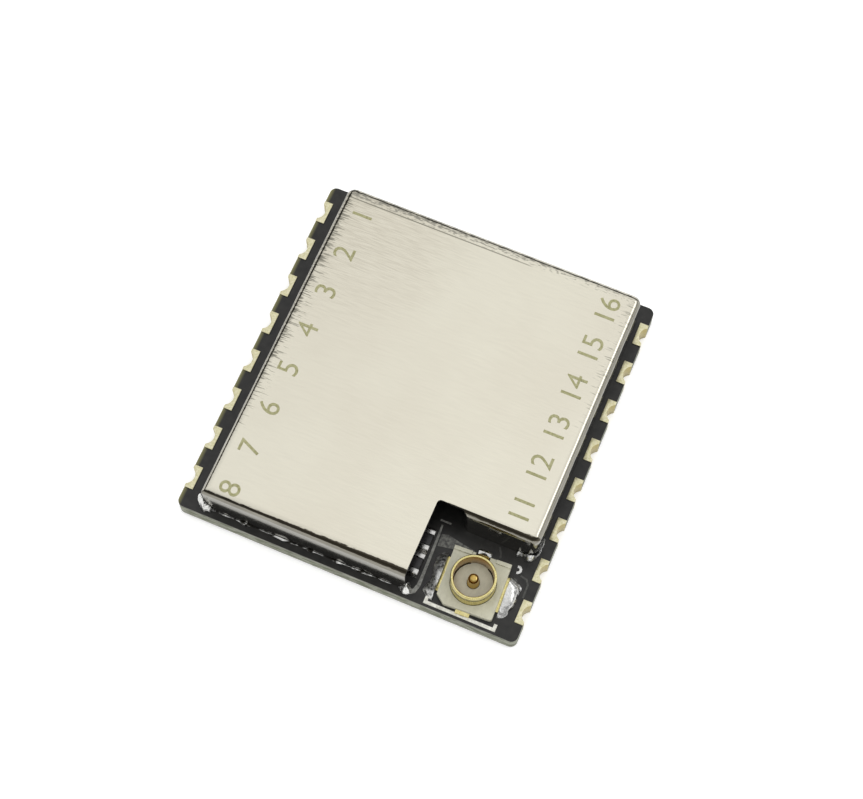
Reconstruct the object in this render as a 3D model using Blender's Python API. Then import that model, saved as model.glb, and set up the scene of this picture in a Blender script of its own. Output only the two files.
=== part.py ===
"""Surface-mount radio module: castellated board, stamped shield can and coaxial antenna receptacle.

Frame: origin at the centre of the underside, +X along the front edge, +Y along the rows of
plated half-holes, +Z up. All driving sizes below are in millimetres and every mesh is written in
metres.
"""
import math

import bmesh
import bpy
from mathutils import Matrix

MM = 0.001
FIT = 0.02                      # clearance left between two pieces that meet
WELD = 1e-7                     # merge distance in metres, far below the smallest detail

# Board and its plated half-holes
PITCH = 2.0
PADS_PER_SIDE = 8
END_MARGIN = 1.40               # centre of the last half-hole to the board's end
BOARD_WIDTH = 16.0
BOARD_LENGTH = (PADS_PER_SIDE - 1) * PITCH + 2 * END_MARGIN
BOARD_TOP = 1.0                 # height of the masked top face
BOARD_CORNER_R = 0.30
LAND_T = 0.04                   # copper and gold of one land
LAND_LENGTH = 1.09              # along the board edge
LAND_TOP_W = 0.40               # inwards from the edge, upper side
LAND_BOTTOM_W = 0.90            # inwards from the edge, soldering side
HOLE_R = 0.44                   # finished half-hole
HOLE_OFFSET = 0.205             # hole centre lies this far outside the edge
PLATING = 0.05
HOLE_STEPS = 12
BOARD_BOTTOM = LAND_T + FIT
LAND_TOP_Z = BOARD_TOP + FIT
SEAT = BOARD_TOP + FIT          # where everything that stands on the board starts

# Shield can: strips of board left free around it, then its outer faces
FREE_LEFT = 1.22
FREE_RIGHT = 0.58
FREE_FRONT = 0.37
FREE_BACK = 0.57
CAN_H = 2.20                    # its top above the masked face
CAN_LEFT = -BOARD_WIDTH / 2 + FREE_LEFT
CAN_RIGHT = BOARD_WIDTH / 2 - FREE_RIGHT
CAN_FRONT = -BOARD_LENGTH / 2 + FREE_FRONT
CAN_BACK = BOARD_LENGTH / 2 - FREE_BACK
CAN_TOP = BOARD_TOP + CAN_H
SHEET = 0.15
BEND_R = 0.38                   # outside radius where the top turns into a wall
CORNER_R = 0.40                 # drawn upright corners in plan
FOLD_R = 0.10                   # the front left corner, where two folded walls meet
SEAM_W = 0.05                   # open seam between those two walls
SEAM_REACH = 0.60               # how far its cutter runs to each side of the corner
BEND_STEPS = 5
CORNER_STEPS = 6
BAY_W = 4.68                    # open corner for the receptacle
BAY_DEPTH = 3.43
BAY_RELIEF = 0.23               # the sheet beside the turned-down wall is cut back further
BAY_LEFT = CAN_RIGHT - BAY_W    # raw cut edge beside the receptacle
BAY_WALL = CAN_FRONT + BAY_DEPTH
BAY_DEEP = BAY_WALL + BAY_RELIEF
BAY_INNER_R = 0.17
RELIEF_W = 1.13                 # straight part of the relief, then its slanting end
RELIEF_SLANT = 0.35
STEP_START = BAY_LEFT + RELIEF_W
STEP_END = STEP_START + RELIEF_SLANT
BAY_MARGIN = 0.70               # sheet trimmed away beside the raw edge

# Antenna receptacle
JACK_FROM_RIGHT = 2.07          # its axis from the can's right face and from the bay wall
JACK_FROM_WALL = 2.11
JACK_X = CAN_RIGHT - JACK_FROM_RIGHT
JACK_Y = BAY_WALL - JACK_FROM_WALL
JACK_TURN = 2.5                 # degrees that reflow leaves it turned, anticlockwise from above
HOUSING = 2.60                  # side of the square moulding
HOUSING_HALF = HOUSING / 2
HOUSING_H = 0.35
HOUSING_CHAMFER_X = 0.40
HOUSING_CHAMFER_Y = 0.32
HOUSING_CORNER_R = 0.12
LIP_DEPTH = 0.17                # low lips along the back edge, beside the signal terminal
LIP_H = 0.09
LIP_LEFT_GAP = 0.48             # from the middle to the left lip
LIP_RIGHT_GAP = 0.62            # and to the shorter right one
RING_R = 1.00
RING_WALL = 0.13
RING_INNER_R = RING_R - RING_WALL
RING_H = 1.25
RING_RIM_R = 0.05
RING_SLOT_HALF = 0.40
RING_SLOT_H = HOUSING_H + FIT
RING_STEPS = 48
SNAP_Z = 0.74                   # middle of the snap groove above the seat
SNAP_HALF = 0.06
SNAP_SLOPE = 0.10
SNAP_DEPTH = 0.05
TERMINAL_T = 0.10
TERMINAL_START = RING_R - 0.6 * RING_WALL
SIDE_REACH = HOUSING_HALF + 0.12
SIDE_HALF = 0.81
FRONT_REACH = HOUSING_HALF + 0.16
FRONT_HALF = 0.32
PIN_R = 0.235
PIN_COLLAR_R = 0.27
PIN_COLLAR_H = 0.52
PIN_H = 1.13
PIN_TIP_R = 0.20                # nearly a full dome
PIN_STEPS = 24
SIGNAL_HALF = 0.25
SIGNAL_REACH = HOUSING_HALF + 0.20
MOUTH_SIDE = 0.08               # room beside the signal terminal where it leaves the housing
THROUGH = 1.0                   # how far a cutter runs past what it cuts

# Solder. A joint has a film, as (reach over the board, climb up the wall), and lumps along it,
# as (place from 0 to 1, spread, more reach, more climb).
FILM_BULGE = 0.20               # section of a film, from hollow (0) over round (1) to squarer
LUMP_BULGE = 0.95               # and how much fuller the lumps are
CORNER_FILM = (0.05, 0.06)
CORNER_LUMPS = ((0.43, 0.21, 0.17, 1.62), (0.74, 0.16, 0.14, 0.60))
CORNER_TAILS = (0.34, 0.42)     # how far the joint runs past the corner on each side
FRONT_FILM = (0.012, 0.010)
FRONT_LUMPS = ((0.04, 0.020, 0.10, 0.12), (0.155, 0.025, 0.11, 0.20), (0.36, 0.075, 0.07, 0.09),
               (0.53, 0.018, 0.11, 0.16), (0.70, 0.028, 0.10, 0.12), (0.83, 0.070, 0.06, 0.10),
               (0.96, 0.025, 0.07, 0.08))
FRONT_CLEAR = (0.65, 0.30)      # free of solder at the left and the right end of the front foot
END_FILM = (0.06, 0.08)
END_LUMPS = ((0.52, 0.36, 0.23, 0.66),)
END_TAILS = (0.34, 0.40)        # along the front wall and along its cut end
BAY_FILM = (0.045, 0.07)
BAY_LUMPS = ((0.06, 0.07, 0.27, 0.30), (0.37, 0.12, 0.26, 0.28))
BAY_TAILS = (0.52, 0.60)        # along the turned-down wall and along the right wall
LEFT_FILM = (0.40, 0.24)
LEFT_LUMPS = ((0.88, 0.12, 0.12, 0.14), (0.45, 0.30, 0.04, 0.06))
RIGHT_FILM = (0.48, 0.27)
RIGHT_LUMPS = ((0.50, 0.45, 0.03, 0.06),)
SIDE_SOLDER_PAST_BACK = 0.17    # the side joints run past the ends of their terminals
SIDE_SOLDER_PAST_FRONT = 0.45
RIGHT_SOLDER_PAST_FRONT = 0.21
RIGHT_SOLDER_PAST_BACK = 0.13
SIGNAL_SOLDER_SIDE = 0.07       # how far solder laps over the signal terminal's sides and end
SIGNAL_SOLDER_END = 0.14
SIGNAL_SOLDER_H = 0.20
SIGNAL_STRAIGHT = 0.75          # share of its length before the mound narrows
SIGNAL_NARROWING = 0.20
SIGNAL_FLATNESS = 1.60          # the mound's top is flattened
SIGNAL_END_THIN = 0.05
SIGNAL_STEPS = 10
SOLDER_TIP = 0.12               # the joints round off to this share at their ends
SOLDER_TAPER = 5.0
SOLDER_UNEVEN = 0.26
SOLDER_WAVES = 4.0              # crinkled joints of the can
SIDE_WAVES = 0.9                # smooth joints of the receptacle

# Chip resistors that show in the bay, half under the can's raw edge, long side along Y
RESISTOR_X = BAY_LEFT - 0.02
RESISTOR_FROM_BACK = 1.30
RESISTOR_SPACING = 1.16
RESISTOR_L = 1.00
RESISTOR_W = 0.50
RESISTOR_H = 0.33
CAP_L = 0.24
CAP_PROUD = 0.02
CAP_SKIRT = 0.09

# Pieces held under the can: side lengths and heights, then the centres
CHIP_SIDE = 6.00
CHIP_H = 0.85
SWITCH_L = 2.00
SWITCH_W = 1.25
SWITCH_H = 0.90
CRYSTAL_L = 3.20
CRYSTAL_W = 2.50
CRYSTAL_H = 0.45
LID_MARGIN = 0.15
LID_H = 0.22
INDUCTOR_L = 2.00
INDUCTOR_W = 1.60
INDUCTOR_H = 1.10
FILTER_L = 1.00
FILTER_W = 0.50
FILTER_H = 0.50
CHIP_CHAMFER = 0.06
CHIP_AT = (-1.60, 2.40)
SWITCH_AT = (0.70, -5.30)
CRYSTAL_AT = (-4.30, -4.60)
INDUCTOR_AT = (4.60, 3.20)
FILTERS_AT = ((-0.60, -3.00), (1.20, -3.00), (3.30, -2.60))

SMOOTH_ANGLE = math.radians(32.0)
JACK_JOINTS = ("solder_shell_left", "solder_shell_right", "solder_signal")


def clear_scene():
    """Remove every object that the start-up scene holds."""
    for obj in list(bpy.data.objects):
        bpy.data.objects.remove(obj, do_unlink=True)


def make_material(name, rgb, metallic, roughness):
    """One Principled material."""
    material = bpy.data.materials.new(name)
    material.use_nodes = True
    shader = material.node_tree.nodes["Principled BSDF"]
    shader.inputs["Base Color"].default_value = (rgb[0], rgb[1], rgb[2], 1.0)
    shader.inputs["Metallic"].default_value = metallic
    shader.inputs["Roughness"].default_value = roughness
    return material


def finish_object(name, bm, material):
    """Turn a bmesh in millimetres into a named object in metres."""
    bmesh.ops.scale(bm, vec=(MM, MM, MM), verts=bm.verts)
    bmesh.ops.remove_doubles(bm, verts=bm.verts, dist=WELD)
    bmesh.ops.recalc_face_normals(bm, faces=bm.faces)
    mesh = bpy.data.meshes.new(name)
    bm.to_mesh(mesh)
    bm.free()
    mesh.materials.append(material)
    obj = bpy.data.objects.new(name, mesh)
    bpy.context.scene.collection.objects.link(obj)
    return obj


def shade(obj):
    """Smooth the round faces and keep the folded edges crisp."""
    for polygon in obj.data.polygons:
        polygon.use_smooth = True
    obj.data.set_sharp_from_angle(angle=SMOOTH_ANGLE)


def loft(bm, rings, close_start=True, close_end=True):
    """Join rings of equal length with quads and cap the two ends."""
    loops = [[bm.verts.new(point) for point in ring] for ring in rings]
    count = len(loops[0])
    for lower, upper in zip(loops, loops[1:]):
        for i in range(count):
            j = (i + 1) % count
            bm.faces.new((lower[i], lower[j], upper[j], upper[i]))
    if close_start:
        bm.faces.new(list(reversed(loops[0])))
    if close_end:
        bm.faces.new(loops[-1])
    return loops


def prism(outline, low, high):
    """A bmesh prism over a plan outline."""
    bm = bmesh.new()
    loft(bm, [[(x, y, low) for x, y in outline], [(x, y, high) for x, y in outline]])
    return bm


def box_outline(x0, y0, x1, y1):
    """Corner points of a rectangle, anticlockwise."""
    return [(x0, y0), (x1, y0), (x1, y1), (x0, y1)]


def arc(cx, cy, radius, start, end, steps):
    """Points on an arc, angles in degrees, both ends included."""
    points = []
    for i in range(steps + 1):
        angle = math.radians(start + (end - start) * i / steps)
        points.append((cx + radius * math.cos(angle), cy + radius * math.sin(angle)))
    return points


def add_chamfered_block(name, centre, size, base, material):
    """A moulded block with a chamfered top edge: size is its length along x, along y and its height."""
    cx, cy = centre
    hx = size[0] / 2
    hy = size[1] / 2
    height = size[2]
    chamfer = CHIP_CHAMFER
    wide = box_outline(cx - hx, cy - hy, cx + hx, cy + hy)
    narrow = box_outline(cx - hx + chamfer, cy - hy + chamfer, cx + hx - chamfer, cy + hy - chamfer)
    bm = bmesh.new()
    loft(bm, [[(x, y, base) for x, y in wide],
              [(x, y, base + height - chamfer) for x, y in wide],
              [(x, y, base + height) for x, y in narrow]])
    return finish_object(name, bm, material)


def combine(obj, other, operation):
    """Join or cut two solids and drop the second one."""
    modifier = obj.modifiers.new("combine", "BOOLEAN")
    modifier.operation = operation
    modifier.solver = "EXACT"
    modifier.object = other
    bpy.context.view_layer.update()
    graph = bpy.context.evaluated_depsgraph_get()
    result = bpy.data.meshes.new_from_object(obj.evaluated_get(graph))
    obj.modifiers.clear()
    old = obj.data
    obj.data = result
    bpy.data.meshes.remove(old)
    spent = other.data
    bpy.data.objects.remove(other, do_unlink=True)
    bpy.data.meshes.remove(spent)
    bm = bmesh.new()
    bm.from_mesh(obj.data)
    bmesh.ops.remove_doubles(bm, verts=bm.verts, dist=WELD)
    bm.to_mesh(obj.data)
    bm.free()


def pad_position(row):
    """Distance along Y of one half-hole, row 0 at the front."""
    return (row - (PADS_PER_SIDE - 1) / 2) * PITCH


def half_hole_arc(radius, steps):
    """Half-hole in edge coordinates (inwards, along), from its far end to its near end."""
    reach = math.sqrt(radius ** 2 - HOLE_OFFSET ** 2)
    spread = math.degrees(math.atan2(reach, HOLE_OFFSET))
    return arc(-HOLE_OFFSET, 0.0, radius, spread, -spread, steps)


def build_board(material):
    """The laminate with rounded corners and sixteen half-holes along its long sides."""
    hx = BOARD_WIDTH / 2
    hy = BOARD_LENGTH / 2
    cut = half_hole_arc(HOLE_R + PLATING + FIT, HOLE_STEPS)
    r = BOARD_CORNER_R
    outline = []
    outline += arc(-hx + r, -hy + r, r, 180, 270, CORNER_STEPS)
    outline += arc(hx - r, -hy + r, r, 270, 360, CORNER_STEPS)
    for row in range(PADS_PER_SIDE):
        y = pad_position(row)
        outline += [(hx - inward, y + along) for inward, along in reversed(cut)]
    outline += arc(hx - r, hy - r, r, 0, 90, CORNER_STEPS)
    outline += arc(-hx + r, hy - r, r, 90, 180, CORNER_STEPS)
    for row in reversed(range(PADS_PER_SIDE)):
        y = pad_position(row)
        outline += [(-hx + inward, y + along) for inward, along in cut]
    board = finish_object("board", prism(outline, BOARD_BOTTOM, BOARD_TOP), material)
    shade(board)


def build_pad(name, side, row, material):
    """One castellation: lower land, half barrel and upper land as a single plated piece."""
    inner = half_hole_arc(HOLE_R, HOLE_STEPS)
    outer = half_hole_arc(HOLE_R + PLATING, HOLE_STEPS)
    outer_end = outer[0][1]
    levels = (0.0, LAND_T, LAND_TOP_Z, LAND_TOP_Z + LAND_T)
    bm = bmesh.new()

    def place(point, z):
        inward, along = point
        return (side * (BOARD_WIDTH / 2 - inward), pad_position(row) + along, z)

    inner_loops = [[bm.verts.new(place(point, z)) for point in inner] for z in levels]
    outer_loops = [[bm.verts.new(place(point, z)) for point in outer] for z in levels[1:3]]
    half = LAND_LENGTH / 2

    def land_rim(width, z):
        corners = ((0.0, -outer_end), (0.0, -half), (width, -half), (width, half), (0.0, half),
                   (0.0, outer_end))
        return [bm.verts.new(place(point, z)) for point in corners]

    lower_rim = land_rim(LAND_BOTTOM_W, levels[0])
    lower_top = land_rim(LAND_BOTTOM_W, levels[1])
    upper_rim = land_rim(LAND_TOP_W, levels[2])
    upper_top = land_rim(LAND_TOP_W, levels[3])
    for low, high in ((lower_rim, lower_top), (upper_rim, upper_top)):
        for a, b, c, d in zip(low, low[1:], high[1:], high):
            bm.faces.new((a, b, c, d))
    bm.faces.new(lower_rim + inner_loops[0])
    bm.faces.new(upper_top + inner_loops[3])
    bm.faces.new(lower_top + outer_loops[0][1:-1])
    bm.faces.new(upper_rim + outer_loops[1][1:-1])
    for low, high in zip(inner_loops, inner_loops[1:]):
        for a, b, c, d in zip(low, low[1:], high[1:], high):
            bm.faces.new((a, b, c, d))
    for a, b, c, d in zip(outer_loops[0], outer_loops[0][1:], outer_loops[1][1:], outer_loops[1]):
        bm.faces.new((a, b, c, d))
    for level in range(3):
        low_outer = (lower_rim, outer_loops[0], outer_loops[1])[level]
        high_outer = (lower_top, outer_loops[1], upper_top)[level]
        for end in (0, -1):
            rim_end = -1 if end == 0 else 0
            low_vert = low_outer[rim_end] if level == 0 else low_outer[end]
            high_vert = high_outer[end] if level == 1 else high_outer[rim_end]
            bm.faces.new((low_vert, inner_loops[level][end], inner_loops[level + 1][end], high_vert))
    pad = finish_object(name, bm, material)
    shade(pad)


def can_outline(inset):
    """Plan outline of the can moved inwards: drawn corners, one folded corner and a square bay corner."""
    left = CAN_LEFT + inset
    right = CAN_RIGHT - inset
    front = CAN_FRONT + inset
    back = CAN_BACK - inset
    trimmed = BAY_LEFT + BAY_MARGIN - inset
    bay = BAY_WALL + inset
    r = max(CORNER_R - inset, 0.0)
    fold = max(FOLD_R - inset, 0.0)
    outline = []
    outline += arc(left + fold, front + fold, fold, 180, 270, CORNER_STEPS)
    outline += [(trimmed, front), (trimmed, bay)]
    outline += arc(right - r, bay + r, r, 270, 360, CORNER_STEPS)
    outline += arc(right - r, back - r, r, 0, 90, CORNER_STEPS)
    outline += arc(left + r, back - r, r, 90, 180, CORNER_STEPS)
    return outline


def build_seam_cutter(material):
    """A thin upright blade across the folded corner, as high as the straight part of the walls."""
    half = SEAM_W / 2 * math.sqrt(0.5)
    reach = SEAM_REACH * math.sqrt(0.5)
    outline = [(CAN_LEFT - reach + half, CAN_FRONT - reach - half),
               (CAN_LEFT + reach + half, CAN_FRONT + reach - half),
               (CAN_LEFT + reach - half, CAN_FRONT + reach + half),
               (CAN_LEFT - reach - half, CAN_FRONT - reach + half)]
    return finish_object("seam_cutter", prism(outline, -THROUGH, CAN_TOP - BEND_R), material)


def build_can(material):
    """The stamped can: folded walls, one turned-down bay wall and raw edges beside the bay."""
    bm = bmesh.new()
    outer_rings = [[(x, y, SEAT) for x, y in can_outline(0.0)]]
    inner_rings = [[(x, y, SEAT) for x, y in can_outline(SHEET)]]
    inner_bend = BEND_R - SHEET
    for i in range(BEND_STEPS + 1):
        angle = math.radians(90.0 * i / BEND_STEPS)
        inset = BEND_R * (1.0 - math.cos(angle))
        height = CAN_TOP - BEND_R + BEND_R * math.sin(angle)
        outer_rings.append([(x, y, height) for x, y in can_outline(inset)])
        inset = SHEET + inner_bend * (1.0 - math.cos(angle))
        height = CAN_TOP - BEND_R + inner_bend * math.sin(angle)
        inner_rings.append([(x, y, height) for x, y in can_outline(inset)])
    outer = loft(bm, outer_rings, close_start=False)
    inner = loft(bm, inner_rings, close_start=False)
    count = len(outer[0])
    for i in range(count):
        j = (i + 1) % count
        bm.faces.new((outer[0][i], outer[0][j], inner[0][j], inner[0][i]))
    can = finish_object("shield_can", bm, material)

    below = CAN_FRONT - THROUGH
    r = BAY_INNER_R
    bay = [(BAY_LEFT, below), (STEP_END, below), (STEP_END, BAY_WALL - FIT), (STEP_START, BAY_DEEP)]
    bay += arc(BAY_LEFT + r, BAY_DEEP - r, r, 90, 180, CORNER_STEPS)
    cutter = finish_object("bay_cutter", prism(bay, -THROUGH, CAN_TOP + THROUGH), material)
    combine(can, cutter, "DIFFERENCE")
    combine(can, build_seam_cutter(material), "DIFFERENCE")
    shade(can)


def jack_points(points):
    """Move a plan outline from the receptacle's centre to its place on the board."""
    return [(JACK_X + x, JACK_Y + y) for x, y in points]


def jack_box(name, x0, y0, x1, y1, z0, z1, material):
    """A block in receptacle coordinates, heights above the seat."""
    outline = jack_points(box_outline(x0, y0, x1, y1))
    return finish_object(name, prism(outline, SEAT + z0, SEAT + z1), material)


def turned(name, profile, steps, material):
    """A solid of revolution about the receptacle's axis from (radius, height) points."""
    bm = bmesh.new()
    closed = profile[0][0] > 0.0
    if closed:
        columns = []
        for i in range(steps):
            angle = 2.0 * math.pi * i / steps
            columns.append([bm.verts.new((JACK_X + radius * math.cos(angle),
                                          JACK_Y + radius * math.sin(angle),
                                          SEAT + height)) for radius, height in profile])
        for i in range(steps):
            here = columns[i]
            there = columns[(i + 1) % steps]
            for k in range(len(profile)):
                m = (k + 1) % len(profile)
                bm.faces.new((here[k], there[k], there[m], here[m]))
    else:
        rings = [[(JACK_X + radius * math.cos(2.0 * math.pi * i / steps),
                   JACK_Y + radius * math.sin(2.0 * math.pi * i / steps),
                   SEAT + height) for i in range(steps)] for radius, height in profile[1:-1]]
        loft(bm, rings)
    return finish_object(name, bm, material)


def build_shell(material):
    """Ground shell: drawn ring with a snap groove, two side terminals and one front terminal."""
    rim = RING_RIM_R
    groove = RING_R - SNAP_DEPTH
    profile = [(RING_INNER_R, 0.0), (RING_R, 0.0), (RING_R, SNAP_Z - SNAP_HALF - SNAP_SLOPE),
               (groove, SNAP_Z - SNAP_HALF), (groove, SNAP_Z + SNAP_HALF),
               (RING_R, SNAP_Z + SNAP_HALF + SNAP_SLOPE), (RING_R, RING_H - rim)]
    for i in range(1, 4):
        angle = math.radians(90.0 * i / 4)
        profile.append((RING_R - rim + rim * math.cos(angle), RING_H - rim + rim * math.sin(angle)))
    profile.append((RING_R - rim, RING_H))
    profile.append((RING_INNER_R + rim, RING_H))
    for i in range(1, 4):
        angle = math.radians(90.0 + 90.0 * i / 4)
        profile.append((RING_INNER_R + rim + rim * math.cos(angle), RING_H - rim + rim * math.sin(angle)))
    profile.append((RING_INNER_R, RING_H - rim))
    shell = turned("connector_shell", profile, RING_STEPS, material)
    for x0, x1 in ((-SIDE_REACH, -TERMINAL_START), (TERMINAL_START, SIDE_REACH)):
        strip = jack_box("strip", x0, -SIDE_HALF, x1, SIDE_HALF, 0.0, TERMINAL_T, material)
        combine(shell, strip, "UNION")
    strip = jack_box("strip", -FRONT_HALF, -FRONT_REACH, FRONT_HALF, -TERMINAL_START, 0.0,
                     TERMINAL_T, material)
    combine(shell, strip, "UNION")
    slot = jack_box("slot", -RING_SLOT_HALF, 0.0, RING_SLOT_HALF, RING_R + THROUGH, -THROUGH,
                    RING_SLOT_H, material)
    combine(shell, slot, "DIFFERENCE")
    shade(shell)


def build_pin(material):
    """Centre contact: a rolled pin with a collar and a flat signal terminal in one strip."""
    tip = PIN_TIP_R
    profile = [(0.0, 0.0), (PIN_COLLAR_R, 0.0), (PIN_COLLAR_R, PIN_COLLAR_H - 0.05),
               (PIN_COLLAR_R - 0.02, PIN_COLLAR_H), (PIN_R, PIN_COLLAR_H + 0.03), (PIN_R, PIN_H - tip)]
    for i in range(1, 5):
        angle = math.radians(90.0 * i / 5)
        profile.append((PIN_R - tip + tip * math.cos(angle), PIN_H - tip + tip * math.sin(angle)))
    profile.append((PIN_R - tip, PIN_H))
    profile.append((0.0, PIN_H))
    pin = turned("connector_pin", profile, PIN_STEPS, material)
    strip = jack_box("strip", -SIGNAL_HALF, 0.0, SIGNAL_HALF, SIGNAL_REACH, 0.0, TERMINAL_T, material)
    combine(pin, strip, "UNION")
    shade(pin)


def build_housing(material):
    """Moulded housing: an outer frame and an inner floor joined by a bridge through the ring's slot."""
    half = HOUSING_HALF
    r = HOUSING_CORNER_R
    outline = [(-half, -half + HOUSING_CHAMFER_Y), (-half + HOUSING_CHAMFER_X, -half)]
    outline += arc(half - r, -half + r, r, 270, 360, 4)
    outline += arc(half - r, half - r, r, 0, 90, 4)
    outline += arc(-half + r, half - r, r, 90, 180, 4)
    housing = finish_object("connector_housing", prism(jack_points(outline), SEAT, SEAT + HOUSING_H),
                            material)
    for x0, x1 in ((-half, -LIP_LEFT_GAP), (LIP_RIGHT_GAP, half)):
        lip = jack_box("lip", x0, half - LIP_DEPTH, x1, half, HOUSING_H - 0.1, HOUSING_H + LIP_H,
                       material)
        combine(housing, lip, "UNION")

    bridge_half = RING_SLOT_HALF - FIT
    wide = RING_R + FIT
    tight = RING_INNER_R - FIT
    start_wide = math.degrees(math.asin(bridge_half / wide))
    start_tight = math.degrees(math.asin(bridge_half / tight))
    groove = arc(0.0, 0.0, wide, 90.0 + start_wide, 450.0 - start_wide, RING_STEPS)
    groove += arc(0.0, 0.0, tight, 450.0 - start_tight, 90.0 + start_tight, RING_STEPS)
    cutter = finish_object("groove", prism(jack_points(groove), SEAT - THROUGH, SEAT + THROUGH),
                           material)
    combine(housing, cutter, "DIFFERENCE")

    below = -THROUGH
    above = TERMINAL_T + FIT
    reach = half + THROUGH
    start = TERMINAL_START - FIT
    side_half = SIDE_HALF + FIT
    recesses = [(-reach, -side_half, -start, side_half),
                (start, -side_half, reach, side_half),
                (-FRONT_HALF - FIT, -reach, FRONT_HALF + FIT, -start),
                (-SIGNAL_HALF - FIT, 0.0, SIGNAL_HALF + FIT, reach)]
    for x0, y0, x1, y1 in recesses:
        recess = jack_box("recess", x0, y0, x1, y1, below, above, material)
        combine(housing, recess, "DIFFERENCE")
    mouth_half = SIGNAL_HALF + MOUTH_SIDE
    mouth = jack_box("mouth", -mouth_half, half - LIP_DEPTH, mouth_half, reach, below,
                     HOUSING_H + THROUGH, material)
    combine(housing, mouth, "DIFFERENCE")
    bore = jack_points(arc(0.0, 0.0, PIN_COLLAR_R + FIT, 0, 360 - 360 / PIN_STEPS, PIN_STEPS - 1))
    cutter = finish_object("bore", prism(bore, SEAT - THROUGH, SEAT + THROUGH), material)
    combine(housing, cutter, "DIFFERENCE")
    shade(housing)


def ripple(t, seed):
    """A smooth repeatable unevenness between -1 and 1, from three waves of falling height."""
    waves = ((0.55, 7.3, 1.0), (0.30, 17.9, 2.1), (0.15, 41.0, 0.7))
    return sum(height * math.sin(rate * t + phase * seed) for height, rate, phase in waves)


def hump(t, centre, spread):
    """A bell of height 1 around the centre."""
    return math.exp(-((t - centre) / spread) ** 2)


def straight_path(start, end, normal, count):
    """Foot points (x, y, normal x, normal y) along one straight foot."""
    path = []
    for i in range(count):
        t = i / (count - 1)
        path.append((start[0] + (end[0] - start[0]) * t, start[1] + (end[1] - start[1]) * t,
                     normal[0], normal[1]))
    return path


def corner_path(centre, radius, start, end, steps):
    """Foot points round an upright corner, angles in degrees."""
    return [(x, y, (x - centre[0]) / radius, (y - centre[1]) / radius)
            for x, y in arc(centre[0], centre[1], radius, start, end, steps)]


def build_fillet(name, path, film, lumps, seed, material, waves=SOLDER_WAVES, steps=7):
    """A solder joint against an upright face, along a path of (x, y, normal x, normal y)."""
    rings = []
    for i, (x, y, nx, ny) in enumerate(path):
        t = i / (len(path) - 1)
        swell = sum(hump(t, place, spread) for place, spread, _, _ in lumps)
        taper = min(1.0, SOLDER_TIP + math.sqrt(SOLDER_TAPER * min(t, 1.0 - t)))
        uneven = (1.0 + SOLDER_UNEVEN * ripple(waves * t, seed)) * taper
        width = uneven * (film[0] + sum(reach * hump(t, place, spread)
                                        for place, spread, reach, _ in lumps))
        height = uneven * (film[1] + sum(climb * hump(t, place, spread)
                                         for place, spread, _, climb in lumps))
        bulge = FILM_BULGE + LUMP_BULGE * min(1.0, swell)
        ring = [(x, y, SEAT)]
        for k in range(steps + 1):
            angle = math.radians(90.0 * k / steps)
            hollow = (1.0 - math.sin(angle), 1.0 - math.cos(angle))
            full = (math.cos(angle), math.sin(angle))
            out = width * (hollow[0] + (full[0] - hollow[0]) * bulge)
            up = height * (hollow[1] + (full[1] - hollow[1]) * bulge)
            ring.append((x + nx * out, y + ny * out, SEAT + up))
        rings.append(ring)
    bm = bmesh.new()
    loft(bm, rings)
    solder = finish_object(name, bm, material)
    shade(solder)


def build_can_solder(material):
    """The four places where the can is soldered to the board."""
    front = CAN_FRONT - FIT
    left = CAN_LEFT - FIT
    centre = (CAN_LEFT + FOLD_R, CAN_FRONT + FOLD_R)
    path = straight_path((left, centre[1] + CORNER_TAILS[0]), (left, centre[1]), (-1.0, 0.0), 5)[:-1]
    path += corner_path(centre, FOLD_R + FIT, 180, 270, 6)
    path += straight_path((centre[0], front), (centre[0] + CORNER_TAILS[1], front), (0.0, -1.0), 6)[1:]
    build_fillet("solder_can_corner", path, CORNER_FILM, CORNER_LUMPS, 1.3, material)

    start = (CAN_LEFT + FRONT_CLEAR[0], front)
    stop = (BAY_LEFT - FRONT_CLEAR[1] - END_TAILS[0], front)
    path = straight_path(start, stop, (0.0, -1.0), 70)
    build_fillet("solder_can_front", path, FRONT_FILM, FRONT_LUMPS, 2.4, material)

    end = BAY_LEFT + FIT
    path = straight_path((end - END_TAILS[0], front), (end - FIT, front), (0.0, -1.0), 5)
    path += [(end, front, math.sin(math.radians(angle)), -math.cos(math.radians(angle)))
             for angle in (30, 60)]
    path += straight_path((end, front + FIT), (end, front + END_TAILS[1]), (1.0, 0.0), 5)
    build_fillet("solder_can_end", path, END_FILM, END_LUMPS, 5.2, material)

    wall = BAY_WALL - FIT
    right = CAN_RIGHT + FIT
    centre = (CAN_RIGHT - CORNER_R, BAY_WALL + CORNER_R)
    path = straight_path((centre[0] - BAY_TAILS[0], wall), (centre[0], wall), (0.0, -1.0), 7)[:-1]
    path += corner_path(centre, CORNER_R + FIT, 270, 360, 8)
    path += straight_path((right, centre[1]), (right, centre[1] + BAY_TAILS[1]), (1.0, 0.0), 6)[1:]
    build_fillet("solder_can_bay", path, BAY_FILM, BAY_LUMPS, 0.4, material)


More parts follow.
